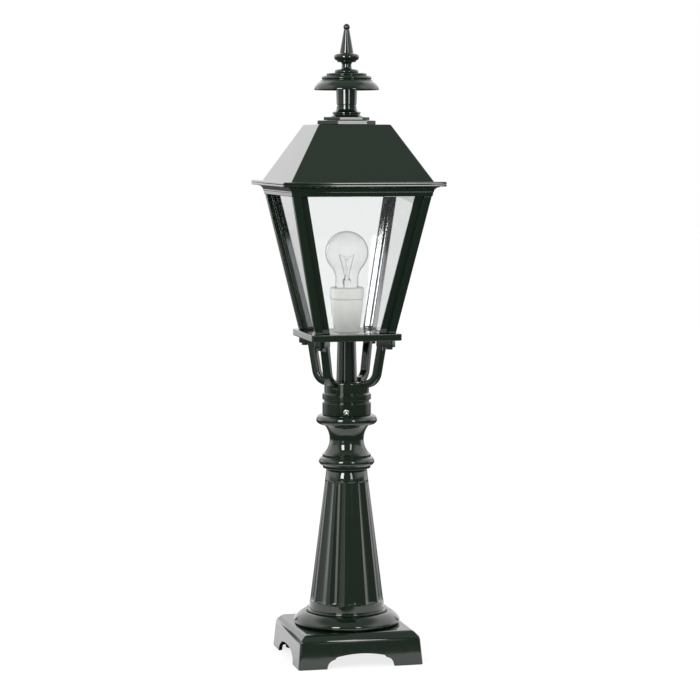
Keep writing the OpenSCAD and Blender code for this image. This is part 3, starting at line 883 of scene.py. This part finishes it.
def build_post(name, quarter):
    side = [(10.5, 0, 0.6), (10.5, 7, 0.4), (21.5, 7, 0.3), (21.5, 9.6, 0.3)]
    other_side = [(v, u, r) for u, v, r in reversed(side)]
    outline = fillet([(0, 0, 0.9)] + side + [(9.6, 9.6, 0.4)] + other_side, closed=True, step=22)
    levels = [BODY_LOW, BODY_LOW + 1, BODY_LOW + 60, BODY_LOW + 125, BODY_HIGH - 1, BODY_HIGH]
    verts = []
    for z in levels:
        verts += [(wall(z) - u, wall(z) - v, z) for u, v in outline]
    verts = turned(verts, quarter * math.pi / 2)
    faces = capped(len(levels), len(outline))
    finish_mesh(f"{name}_bar", verts, faces, "head", "green_paint", PAINT, (name,))


POSTS = ("post_rear_right", "post_rear_left", "post_front_left", "post_front_right")
for index, post_name in enumerate(POSTS):
    build_post(post_name, index)


def build_pane(name, quarter):
    near, far, inset, edge, gap = 9.65, 12.05, 12.6, 0.35, 0.2
    rings = []
    for depth, pull in ((near, edge), (near + edge, 0), (far - edge, 0), (far, edge)):
        low, high = BODY_LOW + gap + pull, BODY_HIGH - gap - pull
        rings.append([
            (-(wall(low) - inset - pull), wall(low) - depth, low),
            (wall(low) - inset - pull, wall(low) - depth, low),
            (wall(high) - inset - pull, wall(high) - depth, high),
            (-(wall(high) - inset - pull), wall(high) - depth, high),
        ])
    verts = [p for ring in rings for p in ring]
    faces = loops_to_faces(4, 4, False) + [(0, 1, 2, 3), (15, 14, 13, 12)]
    piece = finish_mesh(
        f"{name}_glass", turned(verts, quarter * math.pi / 2), faces, "head", "pane_glass", PANE, (name,),
        weighted=False,
    )
    for face in piece.data.polygons:
        face.use_smooth = False


for index, pane_name in enumerate(("pane_rear", "pane_left", "pane_front", "pane_right")):
    build_pane(pane_name, index)

# ---------------------------------------------------------------- roof and chimney

roof = fillet([
    (95.3, 664.1, 0.4), (113, 664.1, 0.9), (113, 667.3, 1.5), (99.0, 667.3, 1.0), (50.8, 744.2, 1.0),
    (49.6, 744.8, 0.6), (22, 744.8, 0.4), (22, 741.6, 0.2), (49.0, 741.6, 0.6), (95.3, 667.8, 0.6),
], closed=True)
ROOF_NODES = ("roof_front", "roof_right", "roof_rear", "roof_left", "roof_deck")
square_piece("roof_casting", roof, lambda h: 1.6, "roof_part", ROOF_NODES)


def plate_corner(apothem):
    """Corner radius of a chimney plate: small outside, and nearly round at its bore."""
    return 1.0 if apothem > 20 else apothem * 0.85


def build_chimney():
    """Two six-sided plates and the turned stack on them."""
    plate_bore = 12
    for name, reach, low, high in (
        ("chimney_plate_low", 41.5, 744.85, 750.6),
        ("chimney_plate_high", 32.7, 751.0, 755.3),
    ):
        apothem = reach * math.cos(math.pi / 6)
        outline = fillet([
            (plate_bore, low, 0), (apothem, low, 0.6), (apothem, high, 1.0), (plate_bore, high, 0),
        ], closed=True)
        verts, faces = frustum(outline, plate_corner, 4, sides=6, spin=math.radians(-30))
        finish_mesh(name, verts, faces, "roof_part", "green_paint", PAINT, ("chimney",))
    profile = fillet([
        (11, 750, 0), (27.5, 750.2, 0), (27.5, 751.2, 0), (22.6, 755.2, 0.3), (21.6, 756.4, 1.2),
        (18.4, 758.6, 1.0), (18.3, 759.4, 0.4), (19.8, 760.2, 0.9), (19.8, 761.7, 0.9), (17.6, 762.8, 0.6),
        (15.6, 763.4, 0.4), (14.1, 766.0, 1.2), (13.65, 770.2, 0.3), (13.1, 770.6, 0.2), (13.1, 772.2, 0.2),
        (14.0, 772.7, 0.4), (14.6, 791, 0), (14.6, 796, 0.4), (11, 796, 0),
    ], closed=True)
    lathe("chimney_stack", profile, "roof_part", "green_paint", PAINT, ("chimney",), 96)


build_chimney()


def build_cap():
    profile = fillet(
        [(3.1, 796, 0), (14.5, 796, 0.4), (14.5, 801.5, 1.0), (31.5, 802.2, 1.5), (37.5, 799.6, 2.0),
         (41.5, 796, 2.0), (43.9, 792.5, 0.5), (45.3, 792.4, 0.6)]
        + arc(28.4, 788.3, 17.9, 16, 62, 10)
        + [(36.4, 805.6, 0.4), (33.4, 806.0, 0.4), (34.6, 807.2, 1.2), (35.0, 808.6, 1.0),
           (34.4, 810.2, 1.0), (33.3, 811.5, 0.5), (27.2, 812.1, 0.3), (28.2, 812.9, 0.7),
           (28.5, 813.7, 0.7), (27.8, 814.9, 0.6), (27.0, 815.45, 0.3), (3.1, 815.45, 0)],
        closed=True,
    )
    lathe("smoke_dish", profile, "roof_part", "green_paint", PAINT, ("smoke_cap",), 144)


build_cap()


def build_finial():
    profile = fillet(
        [(0, 815.6, 0), (16.0, 815.6, 0.5), (16.6, 817.4, 1.2), (15.9, 819.6, 1.0), (14.2, 820.6, 0.6),
         (8.0, 821.4, 1.0), (6.8, 823.6, 2.0), (6.7, 828, 2.0), (7.6, 830.2, 1.0), (13.3, 831.0, 0.5),
         (13.5, 832.4, 0.5)]
        + arc(12.9, 837.6, 4.6, -82, 82, 14)
        + [(10.2, 842.5, 0.3), (9.6, 843.0, 0.3), (3.9, 874.9, 0.3), (3.5, 875.6, 0.3)]
        + arc(0, 878.9, 4.6, -40, 86, 12)
        + [(0, 883.5, 0)],
    )
    lathe("finial_casting", profile, "roof_part", "green_paint", PAINT, ("finial",), 96)


build_finial()

# ---------------------------------------------------------------- lampholder and lamp

holder = fillet([
    (4, 457.95, 0), (17.9, 457.95, 0.6), (18.0, 460.5, 0.8), (18.5, 464, 4), (19.9, 476, 8), (21.8, 490, 8),
    (22.4, 498, 3), (22.4, 502.8, 0.8), (18, 502.8, 0.5), (18, 484, 0.5), (13, 484, 0.5), (13, 472, 0.5),
    (4, 472, 0.5),
], closed=True)
lathe("holder_porcelain", holder, "head", "porcelain", PORCELAIN, ("holder_body",), 120)
collar = fillet([
    (17.2, 503.1, 0.5), (22.6, 503.1, 0.5), (23.75, 504.4, 1.0), (23.75, 518.2, 1.6), (21.6, 520.0, 1.2),
    (18.6, 520.0, 1.0), (17.2, 518.4, 1.0),
], closed=True)
lathe("ring_porcelain", collar, "head", "porcelain", PORCELAIN, ("holder_ring",), 120)


BULB_R, BULB_Z, NECK_R, NECK_FLARE, NECK_Z = 30.0, 568, 15.9, 26.0, 519.1
GLASS_WALL = 0.7


def bulb_line(skin):
    """The bulb's outline from neck to crown, set in by a skin: a straight neck, a flare and a ball."""
    r, neck, flare = BULB_R - skin, NECK_R - skin, NECK_FLARE + skin
    flare_z = BULB_Z - math.sqrt((r + flare) ** 2 - (neck + flare) ** 2)
    lift = math.degrees(math.asin((BULB_Z - flare_z) / (r + flare)))
    points = [(neck, NECK_Z + (flare_z - NECK_Z) * k / 3) for k in range(3)]
    flare_steps, ball_steps = 12, 40
    for k in range(flare_steps + 1):
        t = math.radians(180 - lift * k / flare_steps)
        points.append((neck + flare + flare * math.cos(t), flare_z + flare * math.sin(t)))
    for k in range(1, ball_steps + 1):
        t = math.radians(-lift + (90 + lift) * k / ball_steps)
        points.append((r * math.cos(t), BULB_Z + r * math.sin(t)))
    points[-1] = (0.0, BULB_Z + r)
    return points


envelope = bulb_line(GLASS_WALL)[::-1] + bulb_line(0)
lathe("bulb_envelope", envelope, "bulb", "lamp_glass", BULB, ("bulb_glass",), 128)

THREAD_R, THREAD_LOW, THREAD_PITCH, THREAD_DEPTH = 13.05, 498.8, 3.63, 0.42
THREAD_ROW, THREAD_ROWS = 0.3, 62
THREAD_START, THREAD_END, THREAD_INNER = 499, 516.5, 12


def thread(r, z, t):
    """Radius of the rolled thread on the lamp's cap."""
    if r < THREAD_INNER or z < THREAD_START or z > THREAD_END:
        return r
    return r - THREAD_DEPTH + THREAD_DEPTH * math.cos(2 * math.pi * z / THREAD_PITCH - t)


cap_line = [
    (0, 492.05, 0), (4.2, 492.05, 0.5), (4.5, 493.6, 0.3), (6.2, 493.7, 0.3), (10.4, 497.2, 0.6),
    (12.6, 498.0, 0.6),
]
cap_line += [(THREAD_R, THREAD_LOW + THREAD_ROW * k, 0) for k in range(THREAD_ROWS)]
cap_line += [(THREAD_R, 519, 0.2), (12.3, 519, 0.2), (12.3, 506, 0), (0, 505, 0)]
lathe("bulb_screw_cap", fillet(cap_line), "bulb", "lamp_cap", CAP, ("bulb_cap",), 72, thread)


def pinched(r, z, t):
    """Radius of the stem, squeezed flat where its lead wires are sealed in."""
    squeeze, middle, reach = 0.35, 529, 5
    return r * (1 + squeeze * math.cos(2 * t) * max(0.0, 1 - abs(z - middle) / reach))


stem_line = fillet([
    (0, 513, 0), (4.5, 513, 0), (4.7, 520, 1), (4.9, 528, 2), (3.2, 532.4, 1.5), (1.8, 536, 1.5),
    (1.5, 548, 1), (1.5, 554.4, 0.8), (2.3, 556.4, 1.2), (2.2, 558.4, 1.0), (0, 559.2, 0),
])
lathe("bulb_stem_glass", stem_line, "bulb", "lamp_glass", BULB, ("bulb_stem",), 40, pinched)


def rod(points, radius, around=8):
    """A round wire through a line of points."""
    verts = []
    count = len(points)
    for i, p in enumerate(points):
        ahead = Vector(points[min(i + 1, count - 1)]) - Vector(points[max(i - 1, 0)])
        ahead.normalize()
        side = ahead.cross(Vector((0, 1, 0.01))).normalized()
        up = side.cross(ahead).normalized()
        for k in range(around):
            t = 2 * math.pi * k / around
            verts.append(tuple(Vector(p) + side * radius * math.cos(t) + up * radius * math.sin(t)))
    return verts, capped(count, around)


def join(name, parts, body, slot, paint, nodes):
    """One piece of several lists of verts and faces."""
    verts, faces = [], []
    for part_verts, part_faces in parts:
        start = len(verts)
        verts += part_verts
        faces += [tuple(i + start for i in face) for face in part_faces]
    return finish_mesh(name, verts, faces, body, slot, paint, nodes, weighted=False)


def build_filament():
    """Two lead wires, two supports and the coiled filament that sags between the leads."""
    parts = []
    for s in (-1, 1):
        lead = [
            (s * 2.2, 0, 529), (s * 3.2, 0, 536), (s * 5.6, 0, 547), (s * 8.6, 0, 558),
            (s * 10.4, 0, 563.6), (s * 10.4, -0.6, 564.8), (s * 9.6, -1.4, 564.9),
        ]
        support = [
            (s * 0.8, -0.3, 557.4), (s * 3.0, -1.8, 560.6), (s * 5.2, -3.2, 562.6), (s * 5.6, -3.4, 561.6),
        ]
        parts.append(rod(lead, 0.36))
        parts.append(rod(support, 0.16, 6))
    half, turns, steps, coil_r, wire_r = 9.6, 45, 360, 0.32, 0.07
    y_end, y_sag, z_end, z_sag = -1.4, 2.4, 564.6, 3.0
    coil = []
    for k in range(steps + 1):
        t = k / steps
        sag = math.sin(math.pi * t)
        a = t * turns * 2 * math.pi
        coil.append((
            -half + 2 * half * t,
            y_end - y_sag * sag + coil_r * math.cos(a),
            z_end - z_sag * sag + coil_r * math.sin(a),
        ))
    parts.append(rod(coil, wire_r, 4))
    join("filament_wires", parts, "bulb", "lamp_wire", WIRE, ("filament",))


build_filament()

# ---------------------------------------------------------------- CAD nodes that stay, with their finish


def dress(names, paint, width=0.0):
    """Give CAD nodes a material, smooth shading and, with a width in millimetres, rounded edges."""
    for name in names:
        node = frame["nodes"][name]
        node.data.materials.clear()
        node.data.materials.append(paint)
        for face in node.data.polygons:
            face.use_smooth = True
        if width:
            soften(node, width)
        modifier = node.modifiers.new("weighted", "WEIGHTED_NORMAL")
        modifier.keep_sharp = False


dress([n for n in frame["nodes"] if n.startswith("strip_")], STRIP, 0.25)
dress(["floor_plate", "hinge_leaf_fixed", "hinge_leaf_moving"], PAINT, 0.3)
dress(["stay_tube", "stay_nut_low", "stay_nut_high", "stay_washer"], ZINC, 0.3)
dress(["finial_rod", "clamp_bar", "rod_nut"], ZINC, 0.3)
dress(["pad_screw_1", "pad_screw_2", "pad_screw_3", "pad_screw_4"], PAINT, 0.2)
dress(["holder_screw_1", "holder_screw_2"], ZINC, 0.2)
dress(["hinge_pin"], STAINLESS, 0.2)
dress(["thread_shell", "contact"], BRASS, 0.1)
dress(["supply_lead"], SHEATH)

# ---------------------------------------------------------------- floor

FLOOR_SIDE, FLOOR_AHEAD, FLOOR_BEHIND, FLOOR_DROP = 9.0, 0.45, 16.0, 0.0002


def white_paper():
    """Matt white that stays white to the camera and is seen in gloss only close to the foot."""
    paper, n, shader, where = material("white_paper")
    out = n.tree.nodes["Material Output"]
    tone = n.mix(n.noise(where, 3.0, 2.0), (0.90, 0.90, 0.90, 1), (0.93, 0.93, 0.93, 1))
    n.link(tone, shader.inputs["Base Color"])
    shader.inputs["Roughness"].default_value = 0.85
    shader.inputs["Specular IOR Level"].default_value = 0.2
    shader.inputs["Emission Color"].default_value = (1, 1, 1, 1)
    # Painted light: the floor glows, more the farther it lies from the foot, so it is painted brighter away
    # from the lantern and darker near it.
    far = n.add("ShaderNodeVectorMath", operation="LENGTH")
    n.link(where, far.inputs[0])
    n.link(n.ramp(far.outputs["Value"], 0.2, 1.6, 0.0, 0.12), shader.inputs["Emission Strength"])
    rays = n.add("ShaderNodeLightPath")
    white = n.add("ShaderNodeEmission")
    seen = n.add("ShaderNodeMixShader")
    straight = n.math("ADD", rays.outputs["Is Camera Ray"], rays.outputs["Is Transmission Ray"])
    n.link(n.math("MULTIPLY", straight, 0.8), seen.inputs[0])
    n.link(shader.outputs[0], seen.inputs[1])
    n.link(white.outputs[0], seen.inputs[2])
    distant = n.ramp(rays.outputs["Ray Length"], 0.45, 0.7)
    hidden = n.math("MULTIPLY", rays.outputs["Is Glossy Ray"], distant)
    shown = n.add("ShaderNodeMixShader")
    n.link(hidden, shown.inputs[0])
    n.link(seen.outputs[0], shown.inputs[1])
    n.link(n.add("ShaderNodeBsdfTransparent").outputs[0], shown.inputs[2])
    n.link(shown.outputs[0], out.inputs["Surface"])
    return paper


def build_floor():
    """A sheet that ends a little before the camera's side and runs far back."""
    corners = []
    for across, back in (
        (-FLOOR_SIDE, -FLOOR_AHEAD), (FLOOR_SIDE, -FLOOR_AHEAD),
        (FLOOR_SIDE, FLOOR_BEHIND), (-FLOOR_SIDE, FLOOR_BEHIND),
    ):
        corners.append(ACROSS * across - TOWARDS * back)
    mesh = bpy.data.meshes.new("floor")
    mesh.from_pydata(corners, [], [(0, 1, 2, 3)])
    mesh.materials.append(white_paper())
    floor = bpy.data.objects.new("floor", mesh)
    floor.location.z = -FLOOR_DROP
    bpy.context.scene.collection.objects.link(floor)


build_floor()

# ---------------------------------------------------------------- boxes kept off the glass

glass = bpy.data.collections.new("glass")
for pane_name in ("pane_front_glass", "pane_rear_glass", "bulb_envelope"):
    glass.objects.link(bpy.data.objects[pane_name])
for entry in glass.collection_objects:
    entry.light_linking.link_state = "EXCLUDE"
for lamp in boxes:
    lamp.light_linking.receiver_collection = glass
